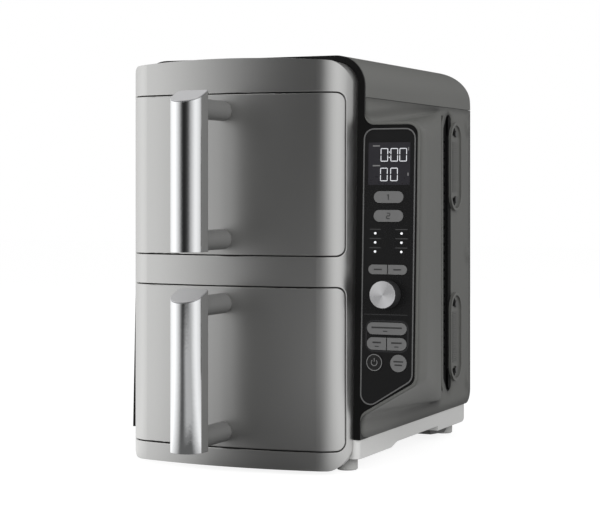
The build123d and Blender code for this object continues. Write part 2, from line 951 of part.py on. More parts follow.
def make_side_spacers():
    spacers = []
    for level in spacer_levels:
        place = Pos(rim_y + spacer_place, level) * Rot(0, 0, 90)
        body = across(place * SlotOverall(spacer_height, spacer_width), side_x, side_x + spacer_thickness)
        inside = place * SlotOverall(spacer_height - 2 * spacer_border, spacer_width - 2 * spacer_border)
        body -= across(inside, side_x + spacer_thickness - spacer_recess, side_x + spacer_thickness)
        for place_y, screw_level in spacer_screw_places():
            start = (side_x - cover_wall, place_y, screw_level)
            body -= rod(start, (1, 0, 0), spacer_screw_radius + screw_gap, 2 * spacer_thickness)
        spacers.append(body)
    return spacers


def make_spacer_screws():
    seat = side_x + spacer_thickness - spacer_recess
    length = spacer_thickness - spacer_recess + cover_wall
    screws = []
    for place_y, level in spacer_screw_places():
        shank = rod((seat - length, place_y, level), (1, 0, 0), spacer_screw_radius, length)
        head = rod((seat, place_y, level), (1, 0, 0), spacer_screw_head, spacer_screw_radius)
        screws.append(shank + head)
    return screws


def make_top_cover(shell):
    return shell & block(-far, far, -far, far, seam_level + cover_seam, far)


def dome(inset):
    half = tower_width / 2 - dome_margin - inset
    low = base_height + housing_low_corner + dome_margin - inset
    high = seam_level - dome_margin - inset
    place = Plane((tower_x, back_y - cover_wall, (low + high) / 2), x_dir=(1, 0, 0), z_dir=(0, 1, 0))
    face = place * RectangleRounded(2 * half, high - low, dome_margin / 2)
    return extrude(face, amount=dome_depth + cover_wall - inset, taper=dome_taper)


def motor_level(base):
    return base + drawer_height / 2


def make_rear_cover(shell):
    reach = tower_width / 2 - cover_wall - fit
    wall = shell & block(tower_x - reach, tower_x + reach, rim_y + housing_depth / 2, far, 0, seam_level)
    cover = (wall + dome(0)) - dome(cover_wall)
    slot = SlotOverall(vent_length, vent_width)
    for base in drawer_bases.values():
        rows = GridLocations(0, vent_pitch, 1, vent_rows)
        vents = [Pos(tower_x, motor_level(base)) * place * slot for place in rows]
        cover -= [along(vent, back_y - cover_wall, far) for vent in vents]
    for place_x, level in screw_places():
        start = (place_x, back_y - 2 * cover_wall, level)
        cover -= rod(start, (0, 1, 0), cover_screw_radius + screw_gap, far)
    inlet = (tower_x + inlet_offset, back_y - 2 * cover_wall, inlet_level)
    cover -= rod(inlet, (0, 1, 0), inlet_radius + fit, far)
    for side in (-1, 1):
        place_x = tower_x + side * (tower_width / 2 - 2 * dome_margin)
        level = (lower_base + drawer_height + upper_base) / 2
        start = (place_x, back_y + dome_depth - cover_wall / 2, level)
        cover += rod(start, (0, 1, 0), rear_bumper_radius, rear_bumper + cover_wall / 2)
    return cover


def make_cover_screws():
    screws = []
    for place_x, level in screw_places():
        tip = (place_x, back_y - cover_screw_length, level)
        shank = rod(tip, (0, 1, 0), cover_screw_radius, cover_screw_length)
        head = rod((place_x, back_y, level), (0, 1, 0), cover_screw_head, cover_screw_radius)
        screws.append(shank + head)
    return screws


def make_mains_inlet():
    start = (tower_x + inlet_offset, back_y - inlet_length / 2, inlet_level)
    gland = rod(start, (0, 1, 0), inlet_radius, inlet_length)
    gland += rod((start[0], back_y, inlet_level), (0, 1, 0), inlet_flange, cover_wall)
    return gland - rod(start, (0, 1, 0), inlet_bore, inlet_length)


# Base tray and feet
def make_base_tray():
    back = back_y - base_end
    points = (
        (bow_y, base_height),
        (back, base_height),
        (back, base_block_low),
        (rim_y + base_block_start, base_block_low),
        (rim_y + base_block_start, base_rear_low),
        (rim_y + base_step_end, base_rear_low),
        (rim_y + base_step_start, base_front_low),
        (bow_y, base_front_low),
    )
    profile = rounded(polygon(points), (back, base_block_low), base_rear_corner)
    half = tower_width / 2 - base_inset
    front = rim_y - (seam_level - base_height) * math.tan(lean)
    plan = soft_rectangle(tower_x - half, tower_x + half, front, back, base_corner)
    tray = across(profile, tower_x - half, tower_x + half) & extrude(plan, amount=base_height)
    tray -= before_rim(fit)
    inside = half - cover_wall
    tray -= block(tower_x - inside, tower_x + inside, rim_y + frame_depth, back - cover_wall, base_floor, far)
    post_top = lower_base + opening_margin - liner_wall
    for place in GridLocations(runner_spread, housing_depth / 2, 2, 2):
        post = Pos(tower_x, rim_y + liner_end / 2, (base_floor + post_top) / 2) * place
        tray += post * Box(runner_width, runner_width, post_top - base_floor)
    return tray


def make_feet():
    feet = []
    for side in (-1, 1):
        for place, top in ((front_foot, base_front_low), (housing_depth - rear_foot, base_block_low)):
            start = (side_limit(side, foot_inset), rim_y + place, 0)
            foot = rod(start, (0, 0, 1), foot_radius, top)
            feet.append(chamfer(foot.faces().sort_by(Axis.Z)[0].edges(), foot_radius / 10))
    return feet


# Cavities with their heaters, fans and motors
def make_liner(base):
    half = opening_width / 2 + liner_wall
    low = base + opening_margin
    level = motor_level(base)
    bottom = low - liner_wall
    top = low + opening_height + liner_wall
    liner = block(tower_x - half, tower_x + half, frame_back, liner_back, bottom, top)
    liner -= opening_block(base, frame_back - liner_wall, liner_back - liner_wall)
    pan_rear = rim_y + guard_place - guard_gap
    for side in (-1, 1):
        middle = tower_x + side * runner_spread / 2
        reach = runner_width / 2
        runner_top = low + runner_height - running_gap
        liner += block(middle - reach, middle + reach, frame_back, pan_rear, low, runner_top)
    wall_start = liner_back - 2 * liner_wall
    liner -= rod((tower_x, wall_start, level), (0, 1, 0), 2 * shaft_radius, 4 * liner_wall)
    for place_x, place_z in terminal_places(base):
        liner -= rod((place_x, wall_start, place_z), (0, 1, 0), heater_pin + fit, 4 * liner_wall)
    liner -= rod(sensor_place(base, wall_start), (0, 1, 0), sensor_radius + fit, 4 * liner_wall)
    return liner


def terminal_places(base):
    half = heater_terminal_spread / 2
    drop = math.sqrt(heater_radius**2 - half**2)
    return [(tower_x + side * half, motor_level(base) - drop) for side in (-1, 1)]


def make_heater(base):
    seat = Plane((tower_x, rim_y + heater_place, motor_level(base)), z_dir=(0, 1, 0))
    ring = seat * Torus(heater_radius, heater_tube)
    wall_inside = liner_back - liner_wall
    for place_x, place_z in terminal_places(base):
        start = (place_x, rim_y + heater_place, place_z)
        ring += rod(start, (0, 1, 0), heater_pin, liner_end - heater_place + 4 * heater_pin)
        ring += rod((place_x, wall_inside - liner_wall, place_z), (0, 1, 0), heater_collar, liner_wall)
    return ring


def make_fan_guard(base):
    half = opening_width / 2 - guard_gap
    low = base + opening_margin + guard_gap
    high = base + drawer_height - opening_margin - guard_gap
    sheet = rectangle(tower_x - half, tower_x + half, low, high)
    count = 2 * int(heater_radius / guard_pitch) + 1
    middle = Pos(tower_x, motor_level(base))
    hole = Circle(guard_hole_radius)
    sheet -= [middle * place * hole for place in GridLocations(guard_pitch, guard_pitch, count, count)]
    front = rim_y + guard_place
    guard = along(sheet, front, front + guard_thickness)
    reach_x = 2 * (half - 2 * guard_leg_radius)
    reach_z = high - low - 4 * guard_leg_radius
    length = liner_back - liner_wall - front
    for place in GridLocations(reach_x, reach_z, 2, 2):
        spot = place.position
        start = (tower_x + spot.X, front, motor_level(base) + spot.Y)
        guard += rod(start, (0, 1, 0), guard_leg_radius, length)
    return guard


def make_fan(base):
    start = rim_y + fan_place
    level = motor_level(base)
    fan = rod((tower_x, start, level), (0, 1, 0), fan_hub_radius, fan_thickness)
    half = blade_thickness / 2
    blade = block(fan_hub_radius / 2, fan_radius, -half, half, 0, fan_thickness)
    seat = Plane((tower_x, start, level), z_dir=(0, 1, 0))
    for number in range(fan_blades):
        fan += seat * Rot(0, 0, number * 360 / fan_blades) * blade
    fan += seat * Cylinder(fan_radius, blade_thickness, align=standing)
    return fan + rod((tower_x, start, level), (0, 1, 0), shaft_radius, shaft_length)


def make_motor(base):
    level = motor_level(base)
    start = liner_back + motor_foot_radius
    motor = rod((tower_x, start, level), (0, 1, 0), motor_radius, motor_length)
    motor += rod((tower_x, start, level), (0, 1, 0), motor_flange_radius, liner_wall)
    reach = (motor_radius + motor_flange_radius) / 2
    for number in range(motor_feet):
        turn = 90 + number * 360 / motor_feet
        place_x = tower_x + reach * math.cos(math.radians(turn))
        place_z = level + reach * math.sin(math.radians(turn))
        foot = (place_x, liner_back, place_z)
        motor += rod(foot, (0, 1, 0), motor_foot_radius, motor_foot_radius + liner_wall)
    return motor - rod((tower_x, start, level), (0, 1, 0), shaft_radius + shaft_fit, motor_bore)


def sensor_place(base, y):
    return tower_x + sensor_offset, y, motor_level(base) + sensor_rise


def make_temperature_sensors():
    sensors = []
    for base in drawer_bases.values():
        tip = sensor_place(base, liner_back - 5 * sensor_radius)
        probe = rod(tip, (0, 1, 0), sensor_radius, 8 * sensor_radius)
        collar = rod(sensor_place(base, liner_back), (0, 1, 0), 2 * sensor_radius, sensor_radius)
        sensors.append(probe + collar)
    return sensors


# Power board between the cavities, and the switch that each closed drawer presses
def make_power_board():
    low = lower_base + drawer_height - opening_margin + liner_wall
    front = rim_y + power_board_place
    half = power_board_width / 2
    bottom = low + power_board_rise
    top = bottom + board_thickness
    board = block(tower_x - half, tower_x + half, front, front + power_board_length, bottom, top)
    reach_x = power_board_width - power_board_inset
    reach_y = power_board_length - power_board_inset
    for place in GridLocations(reach_x, reach_y, 2, 2):
        post = Cylinder(power_board_rise / 2, power_board_rise, align=standing)
        board += Pos(tower_x, front + power_board_length / 2, low) * place * post
    quarter = power_board_length / 4
    second = front + 2 * quarter
    relay_x = tower_x - half + power_board_inset
    board += block(relay_x, relay_x + relay_width, front + quarter, second, top, top + relay_height)
    for number in range(capacitor_count):
        place_x = tower_x + half - capacitor_pitch * (number + 1)
        capacitor = Cylinder(capacitor_radius, capacitor_height, align=standing)
        board += Pos(place_x, front + quarter, top) * capacitor
        near = place_x - coil_width / 2
        board += block(near, near + coil_width, second, second + quarter, top, top + coil_height)
    return board


def make_drawer_switches():
    switches = []
    near = tower_x + opening_width / 2 + liner_wall + fit
    for base in drawer_bases.values():
        level = motor_level(base)
        low = level - drawer_switch_height / 2
        switches.append(
            block(
                near,
                near + drawer_switch_width,
                frame_back,
                frame_back + drawer_switch_length,
                low,
                low + drawer_switch_height,
            )
        )
    return switches


def save(name, shape):
    pieces = shape if isinstance(shape, list) else [shape]
    solids = [solid for piece in pieces for solid in piece.solids()]
    model = solids[0] if len(solids) == 1 else Compound(children=solids)
    export_step(model, os.path.join("parts", name + ".step"))


def main():
    os.makedirs("parts", exist_ok=True)
    form = bezel_form()
    shell = housing_shell()
    save("front_bezel", make_front_bezel(form))
    save("console_frame", make_console_frame())
    save("top_cover", make_top_cover(shell))
    save("left_side_cover", make_left_side_cover(shell))
    save("right_side_cover", make_right_side_cover(shell))
    save("rear_cover", make_rear_cover(shell))
    save("base_tray", make_base_tray())
    save("feet", make_feet())
    save("intake_grille", make_intake_grille())
    save("side_spacers", make_side_spacers())
    save("spacer_screws", make_spacer_screws())
    save("cover_screws", make_cover_screws())
    save("mains_inlet", make_mains_inlet())
    save("control_glass", make_control_glass())
    save("control_trim", make_control_trim())
    save("display_module", make_display())
    save("control_board", make_control_board())
    save("button_switches", make_button_switches())
    save("indicator_lights", make_indicator_lights())
    save("knob_encoder", make_encoder())
    save("control_knob", make_knob())
    save("power_board", make_power_board())
    save("drawer_switches", make_drawer_switches())
    save("temperature_sensors", make_temperature_sensors())
    for name in buttons:
        save(name, make_button(name))
    for level, base in drawer_bases.items():
        save(level + "_cavity_liner", make_liner(base))
        save(level + "_heater", make_heater(base))
        save(level + "_fan_guard", make_fan_guard(base))
        save(level + "_fan", make_fan(base))
        save(level + "_fan_motor", make_motor(base))
        save(level + "_drawer_front", make_drawer_front(form, base))
        save(level + "_drawer_backplate", make_backplate(base))
        save(level + "_drawer_seal", make_seal(base))
        save(level + "_drawer_pan", make_pan(base))
        save(level + "_crisper_plate", make_crisper(base))
        save(level + "_handle_bar", make_handle_bar(base))
        save(level + "_handle_grip", make_handle_grip(base))
        save(level + "_handle_screws", make_handle_screws(base))


main()
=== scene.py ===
import math

import bmesh
import bpy
from mathutils import Matrix, Vector


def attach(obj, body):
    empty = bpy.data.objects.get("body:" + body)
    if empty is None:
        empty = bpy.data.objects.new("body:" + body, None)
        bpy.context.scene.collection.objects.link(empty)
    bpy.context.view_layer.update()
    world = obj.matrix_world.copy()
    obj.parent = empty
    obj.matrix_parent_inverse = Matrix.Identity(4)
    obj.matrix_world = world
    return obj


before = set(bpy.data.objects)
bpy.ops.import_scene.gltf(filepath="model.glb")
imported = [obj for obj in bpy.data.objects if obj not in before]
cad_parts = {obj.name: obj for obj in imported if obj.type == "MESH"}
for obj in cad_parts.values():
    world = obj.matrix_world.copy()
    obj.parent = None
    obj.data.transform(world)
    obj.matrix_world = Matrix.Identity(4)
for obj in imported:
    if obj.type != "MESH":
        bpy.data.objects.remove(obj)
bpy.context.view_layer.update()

# Sizes in millimetres, in the part's own frame
mm = 0.001
side_x = 92.1
rim_y = -101.5
handle_x = -30.9
handle_front = -236.5
handle_width = 31.0
handle_bow = 14.0
handle_depth = 28.0
handle_corner = 4.0
handle_rise = 139.5
handle_slant = math.radians(22.0)
drawer_bases = {"lower": 21.7, "upper": 201.5}
panel_middle = (117.7, -107.608, 190.0)
panel_lean = math.radians(2.2)
button_face = 1.0
knob_level = -24.0
knob_height = 13.0
knob_edge = 12.55
knob_middle = (panel_middle[0], panel_middle[1], panel_middle[2] + knob_level)
spacer_y = 154.0
spacer_levels = (106.0, 287.0)
spacer_floor = 1.0
groove_front = 116.9
groove_rear = 134.9
groove_low = 72.0
groove_high = 320.0
tray_top = 30.5

panel_right = Vector((1, 0, 0))
panel_up = Vector((0, math.sin(panel_lean), math.cos(panel_lean)))
panel_out = Vector((0, -math.cos(panel_lean), math.sin(panel_lean)))
panel_turn = Matrix((panel_right, panel_up, panel_out)).transposed().to_4x4()
panel_frame = Matrix.Translation(panel_middle) @ panel_turn
side_turn = Matrix(((0, 0, 1, 0), (1, 0, 0, 0), (0, 1, 0, 0), (0, 0, 0, 1)))


# Shared shader groups
patch_scale = 11.0
ring_scale = 2200.0
# Turn of the painted sheen's fan on the knob face
painted_sheen_turn = math.radians(125)


def new_group(name, inputs, outputs):
    group = bpy.data.node_groups.new(name, "ShaderNodeTree")
    for label, kind, value in inputs:
        socket = group.interface.new_socket(label, in_out="INPUT", socket_type=kind)
        socket.default_value = value
    for label, kind in outputs:
        group.interface.new_socket(label, in_out="OUTPUT", socket_type=kind)
    return group, group.nodes.new("NodeGroupInput"), group.nodes.new("NodeGroupOutput")


def math_node(tree, operation, first, second):
    node = tree.nodes.new("ShaderNodeMath")
    node.operation = operation
    for socket, value in zip(node.inputs, (first, second)):
        if isinstance(value, (int, float)):
            socket.default_value = value
        else:
            tree.links.new(value, socket)
    return node.outputs[0]


def noise_node(tree, coordinates, scale, detail):
    node = tree.nodes.new("ShaderNodeTexNoise")
    node.inputs["Detail"].default_value = detail
    tree.links.new(coordinates, node.inputs["Vector"])
    if isinstance(scale, (int, float)):
        node.inputs["Scale"].default_value = scale
    else:
        tree.links.new(scale, node.inputs["Scale"])
    return node.outputs["Fac"]


def swing_node(tree, noise, amount):
    return math_node(tree, "MULTIPLY", math_node(tree, "SUBTRACT", noise, 0.5), amount)


def put_out(group, given, out, swing, height):
    """Let one swing vary a finish's colour and roughness, and hand on the height."""
    shade = group.nodes.new("ShaderNodeHueSaturation")
    group.links.new(math_node(group, "ADD", swing, 1.0), shade.inputs["Value"])
    group.links.new(given.outputs["Colour"], shade.inputs["Color"])
    group.links.new(shade.outputs["Color"], out.inputs["Colour"])
    group.links.new(math_node(group, "ADD", given.outputs["Roughness"], swing), out.inputs["Roughness"])
    group.links.new(height, out.inputs["Height"])


finish_outputs = (
    ("Colour", "NodeSocketColor"),
    ("Roughness", "NodeSocketFloat"),
    ("Height", "NodeSocketFloat"),
)
finish_inputs = (
    ("Colour", "NodeSocketColor", (0.5, 0.5, 0.5, 1)),
    ("Roughness", "NodeSocketFloat", 0.5),
)


def make_surface_group():
    """Fine grain and faint large patches, for colour, roughness and height."""
    amounts = (
        ("Grain Scale", "NodeSocketFloat", 900.0),
        ("Grain Amount", "NodeSocketFloat", 0.1),
        ("Patch Amount", "NodeSocketFloat", 0.05),
    )
    group, given, out = new_group("surface_grain", finish_inputs + amounts, finish_outputs)
    place = group.nodes.new("ShaderNodeTexCoord").outputs["Object"]
    grain = noise_node(group, place, given.outputs["Grain Scale"], 3.0)
    patch = noise_node(group, place, patch_scale, 2.0)
    grain_swing = swing_node(group, grain, given.outputs["Grain Amount"])
    patch_swing = swing_node(group, patch, given.outputs["Patch Amount"])
    put_out(group, given, out, math_node(group, "ADD", grain_swing, patch_swing), grain)
    return group


def make_brush_group():
    """Long fine lines along one direction, as on rolled or brushed metal."""
    amounts = (
        ("Stretch", "NodeSocketVector", (4.0, 400.0, 400.0)),
        ("Amount", "NodeSocketFloat", 0.15),
    )
    group, given, out = new_group("brushed_lines", finish_inputs + amounts, finish_outputs)
    stretch = group.nodes.new("ShaderNodeVectorMath")
    stretch.operation = "MULTIPLY"
    group.links.new(group.nodes.new("ShaderNodeTexCoord").outputs["Object"], stretch.inputs[0])
    group.links.new(given.outputs["Stretch"], stretch.inputs[1])
    lines = noise_node(group, stretch.outputs[0], 1.0, 4.0)
    put_out(group, given, out, swing_node(group, lines, given.outputs["Amount"]), lines)
    return group


def make_rings_and_painted_sheen_group():
    """Fine rings, and a painted sheen that fans round one point of a face that looks to the front: a
    reflection painted into the colour.
    """
    amounts = (
        ("Middle", "NodeSocketVector", (0.0, 0.0, 0.0)),
        ("Amount", "NodeSocketFloat", 0.1),
    )
    group, given, out = new_group("turned_rings_and_painted_sheen", finish_inputs + amounts, finish_outputs)
    offset = group.nodes.new("ShaderNodeVectorMath")
    offset.operation = "SUBTRACT"
    group.links.new(group.nodes.new("ShaderNodeTexCoord").outputs["Object"], offset.inputs[0])
    group.links.new(given.outputs["Middle"], offset.inputs[1])
    parts = group.nodes.new("ShaderNodeSeparateXYZ")
    group.links.new(offset.outputs[0], parts.inputs[0])
    across = parts.outputs["X"]
    along = parts.outputs["Z"]
    squares = math_node(group, "ADD", math_node(group, "MULTIPLY", across, across),
                        math_node(group, "MULTIPLY", along, along))
    rings = group.nodes.new("ShaderNodeTexNoise")
    rings.noise_dimensions = "1D"
    rings.inputs["Scale"].default_value = ring_scale
    group.links.new(math_node(group, "SQRT", squares, 0.0), rings.inputs["W"])
    # Painted sheen: colour and roughness swing in a fan round the middle, standing in for the reflection on
    # a turned face
    turn = math_node(group, "SUBTRACT", math_node(group, "ARCTAN2", along, across), painted_sheen_turn)
    fan = math_node(group, "COSINE", math_node(group, "MULTIPLY", turn, 2.0), 0.0)
    ring_swing = swing_node(group, rings.outputs["Fac"], given.outputs["Amount"])
    swing = math_node(group, "ADD", ring_swing, math_node(group, "MULTIPLY", fan, given.outputs["Amount"]))
    put_out(group, given, out, swing, rings.outputs["Fac"])
    return group


def make_edge_group(name, samples):
    """Moulded edges are never quite sharp: a normal that rounds them off."""
    group, given, out = new_group(
        name, (("Radius", "NodeSocketFloat", 0.0005),), (("Normal", "NodeSocketVector"),)
    )
    bevel = group.nodes.new("ShaderNodeBevel")
    bevel.samples = samples
    group.links.new(given.outputs["Radius"], bevel.inputs["Radius"])
    group.links.new(bevel.outputs["Normal"], out.inputs["Normal"])
    return group


surface_group = make_surface_group()
brush_group = make_brush_group()
rings_and_painted_sheen_group = make_rings_and_painted_sheen_group()
edge_group = make_edge_group("soft_edges", 4)
blend_group = make_edge_group("blended_edges", 16)
wide_edge = 3.0


# Finishes, with the depth of their relief in millimetres
grain_depth = 0.1
brush_bump = 0.12
brush_depth = 0.05
ring_and_sheen_amount = 0.16
ring_bump = 0.05
ring_depth = 0.02
turned_edge = 0.4
turned_metallic = 0.35


def start_finish(name, group, values, edge, bump, bump_depth):
    material = bpy.data.materials.new(name)
    material.use_nodes = True
    tree = material.node_tree
    shader = tree.nodes["Principled BSDF"]
    effect = tree.nodes.new("ShaderNodeGroup")
    effect.node_tree = group
    for label, value in values.items():
        effect.inputs[label].default_value = value
    tree.links.new(effect.outputs["Colour"], shader.inputs["Base Color"])
    tree.links.new(effect.outputs["Roughness"], shader.inputs["Roughness"])
    edges = tree.nodes.new("ShaderNodeGroup")
    edges.node_tree = blend_group if edge > wide_edge else edge_group
    edges.inputs["Radius"].default_value = edge * mm
    relief = tree.nodes.new("ShaderNodeBump")
    relief.inputs["Strength"].default_value = bump
    relief.inputs["Distance"].default_value = bump_depth * mm
    tree.links.new(effect.outputs["Height"], relief.inputs["Height"])
    tree.links.new(edges.outputs["Normal"], relief.inputs["Normal"])
    tree.links.new(relief.outputs["Normal"], shader.inputs["Normal"])
    return material, shader


def grained(
    name, colour, roughness, scale=900.0, grain=0.08, patch=0.04, edge=0.5, bump=0.15, metallic=0.0
):
    values = {
        "Colour": (*colour, 1),
        "Roughness": roughness,
        "Grain Scale": scale,
        "Grain Amount": grain,
        "Patch Amount": patch,
    }
    material, shader = start_finish(name, surface_group, values, edge, bump, grain_depth)
    shader.inputs["Metallic"].default_value = metallic
    return material


def brushed(name, colour, roughness, stretch, amount=0.15, edge=0.4):
    values = {"Colour": (*colour, 1), "Roughness": roughness, "Stretch": stretch, "Amount": amount}
    material, shader = start_finish(name, brush_group, values, edge, brush_bump, brush_depth)
    shader.inputs["Metallic"].default_value = 1.0
    return material


def turned(name, colour, roughness, middle):
    """Turned metal with a painted sheen that fans out from the middle."""
    place = tuple(value * mm for value in middle)
    values = {"Colour": (*colour, 1), "Roughness": roughness, "Middle": place, "Amount": ring_and_sheen_amount}
    material, shader = start_finish(name, rings_and_painted_sheen_group, values, turned_edge, ring_bump, ring_depth)
    shader.inputs["Metallic"].default_value = turned_metallic
    return material


def lit(name, colour, strength):
    """A glowing print or lens, a little uneven."""
    material = grained(name, colour, 0.4, grain=0.05, patch=0.02, edge=0.1, bump=0.05)
    shader = material.node_tree.nodes["Principled BSDF"]
    shader.inputs["Emission Color"].default_value = (*colour, 1)
    shader.inputs["Emission Strength"].default_value = strength
    return material


def dull(material, level):
    """Turn down the sheen of a dark finish."""
    material.node_tree.nodes["Principled BSDF"].inputs["Specular IOR Level"].default_value = level
    return material


silver_paint = grained("silver_paint", (0.58, 0.58, 0.572), 0.35, 2600.0, 0.10, 0.03, 0.5, 0.08, 1.0)
tray_paint = grained("tray_paint", (0.68, 0.68, 0.67), 0.42, 2600.0, 0.10, 0.03, 0.8, 0.10, 0.25)
grey_shell = grained("grey_shell", (0.124, 0.125, 0.118), 0.52, 1300.0, 0.12, bump=0.25)
# Same grey plastic as the other covers, painted a little darker on the right side cover: painted shade that
# takes down the light falling on that side
side_shell_painted_shade = grained("side_shell_painted_shade", (0.112, 0.113, 0.106), 0.52, 1300.0, 0.12, bump=0.25, edge=16.0)
handle_grey = grained("handle_grey", (0.185, 0.185, 0.182), 0.42, 1300.0, 0.10, bump=0.15, edge=0.8)
# Dark grey for the painted shade under the tray
painted_shade_grey = grained("painted_shade_grey", (0.075, 0.075, 0.073), 0.55, 1300.0, 0.12, bump=0.2, edge=0.8)
foot_grey = grained("foot_grey", (0.5, 0.5, 0.49), 0.55, 1300.0, 0.10, bump=0.2, edge=0.8)
black_shell = dull(grained("black_shell", (0.0042, 0.0042, 0.0042), 0.42, 1500.0, 0.10, bump=0.10), 0.2)
black_plastic = dull(grained("black_plastic", (0.012, 0.012, 0.012), 0.6, 1100.0, 0.15, bump=0.3), 0.3)
grille_black = dull(grained("grille_black", (0.006, 0.006, 0.006), 0.7, 1100.0, 0.15, bump=0.2), 0.12)
black_panel = grained("black_panel", (0.0058, 0.0058, 0.006), 0.28, 700.0, 0.03, 0.06, bump=0.02)
rubber = grained("rubber", (0.03, 0.03, 0.03), 0.75, 800.0, 0.2, bump=0.4, edge=0.6)
nonstick = grained("nonstick", (0.022, 0.022, 0.024), 0.45, 1900.0, 0.4, 0.1, 0.8, 0.25)
circuit_green = grained("circuit_green", (0.02, 0.12, 0.05), 0.5, 300.0, 0.4, bump=0.2)
button_grey = grained("button_grey", (0.133, 0.133, 0.133), 0.45, 1400.0, bump=0.12, edge=0.4)
button_black = grained("button_black", (0.012, 0.012, 0.012), 0.35, 1400.0, bump=0.08, edge=0.4)
cap_silver = grained("cap_silver", (0.55, 0.55, 0.56), 0.34, 2600.0, edge=0.4, metallic=0.75)
trim_silver = grained("trim_silver", (0.16, 0.16, 0.16), 0.38, 2600.0, edge=0.2, metallic=0.4)
chrome = grained("chrome", (0.86, 0.87, 0.88), 0.05, 120.0, 0.02, 0.02, bump=0.01, metallic=1.0)
cavity_metal = brushed("cavity_metal", (0.5, 0.5, 0.5), 0.38, (300.0, 6.0, 300.0))
screw_steel = brushed("screw_steel", (0.12, 0.12, 0.12), 0.4, (200.0, 200.0, 200.0))
motor_steel = brushed("motor_steel", (0.4, 0.4, 0.4), 0.4, (300.0, 8.0, 300.0))
heater_steel = brushed("heater_steel", (0.16, 0.15, 0.145), 0.5, (200.0, 200.0, 200.0), 0.3)
spun_metal = turned("spun_metal", (0.50, 0.50, 0.51), 0.36, knob_middle)
knob_side = grained("knob_side", (0.05, 0.05, 0.052), 0.4, 1500.0, edge=0.3, metallic=0.5)
display_dark = grained("display_dark", (0.019, 0.018, 0.022), 0.3, 500.0, 0.1, 0.15, bump=0.02)
digit_white = lit("digit_white", (0.62, 0.63, 0.66), 0.3)
lamp_white = lit("lamp_white", (0.75, 0.76, 0.78), 0.4)
print_dark = grained("print_dark", (0.03, 0.03, 0.03), 0.6, grain=0.2, edge=0.05)
print_dim = grained("print_dim", (0.045, 0.045, 0.046), 0.6, grain=0.2, edge=0.05)
print_grey = grained("print_grey", (0.17, 0.17, 0.17), 0.5, grain=0.2, edge=0.05)
surround_black = grained("surround_black", (0.018, 0.018, 0.019), 0.45, 700.0, 0.1, edge=0.1)

finishes = {
    silver_paint: ["front_bezel", "lower_drawer_front", "upper_drawer_front"],
    tray_paint: ["base_tray"],
    foot_grey: ["feet"],
    grey_shell: ["top_cover", "left_side_cover", "rear_cover", "side_spacers"],
    side_shell_painted_shade: ["right_side_cover"],
    handle_grey: ["lower_handle_grip", "upper_handle_grip"],
    black_shell: ["console_frame"],
    grille_black: ["intake_grille"],
    black_plastic: [
        "mains_inlet",
        "button_switches",
        "drawer_switches",
        "lower_drawer_backplate",
        "upper_drawer_backplate",
    ],
    black_panel: ["control_glass"],
    rubber: ["lower_drawer_seal", "upper_drawer_seal"],
    nonstick: ["lower_drawer_pan", "upper_drawer_pan", "lower_crisper_plate", "upper_crisper_plate"],
    circuit_green: ["control_board", "power_board"],
    button_grey: [
        "zone_one_button",
        "zone_two_button",
        "temperature_button",
        "time_button",
        "both_zones_button",
        "sync_button",
        "match_button",
        "start_button",
    ],
    button_black: ["power_button"],
    trim_silver: ["control_trim"],
    chrome: ["lower_handle_bar", "upper_handle_bar"],
    cavity_metal: [
        "lower_cavity_liner",
        "upper_cavity_liner",
        "lower_fan_guard",
        "upper_fan_guard",
        "lower_fan",
        "upper_fan",
    ],
    screw_steel: [
        "spacer_screws",
        "cover_screws",
        "lower_handle_screws",
        "upper_handle_screws",
        "knob_encoder",
        "temperature_sensors",
    ],
    motor_steel: ["lower_fan_motor", "upper_fan_motor"],
    heater_steel: ["lower_heater", "upper_heater"],
    knob_side: ["control_knob"],
    display_dark: ["display_module"],
    lamp_white: ["indicator_lights"],
}
for material, names in finishes.items():
    for name in names:
        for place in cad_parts[name].material_slots:
            place.material = material


# Flat outlines, drawn on a face from its own middle
def soft_box(x, y, width, height, radius, steps=6):
    """A rectangle with rounded corners."""
    points = []
    for quarter, (across, along) in enumerate(((1, 1), (-1, 1), (-1, -1), (1, -1))):
        for step in range(steps + 1):
            turn = math.pi / 2 * (quarter + step / steps)
            points.append((
                x + across * (width / 2 - radius) + radius * math.cos(turn),
                y + along * (height / 2 - radius) + radius * math.sin(turn),
            ))
    return points


def frame_halves(outer, inner):
    """The band between two outlines with as many points, in two halves."""
    half = len(outer) // 2
    first = outer[:half + 1] + inner[half::-1]
    second = outer[half:] + outer[:1] + inner[:1] + inner[:half - 1:-1]
    return [first, second]


def arc_band(x, y, radius, width, start, end, steps=28):
    outer = radius + width / 2
    inner = radius - width / 2
    turns = [start + (end - start) * step / steps for step in range(steps + 1)]
    points = [(x + outer * math.cos(turn), y + outer * math.sin(turn)) for turn in turns]
    return points + [(x + inner * math.cos(turn), y + inner * math.sin(turn)) for turn in reversed(turns)]


def stroke_bar(x, y, length, width, upright):
    """One stroke of a digit, with pointed ends."""
    reach = length / 2
    half = width / 2
    shoulder = reach - half
    points = (
        (-reach, 0), (-shoulder, -half), (shoulder, -half), (reach, 0), (shoulder, half), (-shoulder, half)
    )
    if upright:
        return [(x - b, y + a) for a, b in points]
    return [(x + a, y + b) for a, b in points]


def digit_zero(x, y, width, height, stroke):
    across = width - stroke
    down = height / 2 - stroke
    strokes = [stroke_bar(x, y + side * (height - stroke) / 2, across, stroke, False) for side in (-1, 1)]
    for side in (-1, 1):
        for end in (-1, 1):
            level = y + end * (down + stroke) / 2
            strokes.append(stroke_bar(x + side * (width - stroke) / 2, level, down, stroke, True))
    return strokes


def add_piece(name, form, material, body):
    mesh = bpy.data.meshes.new(name)
    form.normal_update()
    form.to_mesh(mesh)
    form.free()
    mesh.materials.append(material)
    piece = bpy.data.objects.new(name, mesh)
    bpy.context.collection.objects.link(piece)
    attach(piece, body)
    return piece


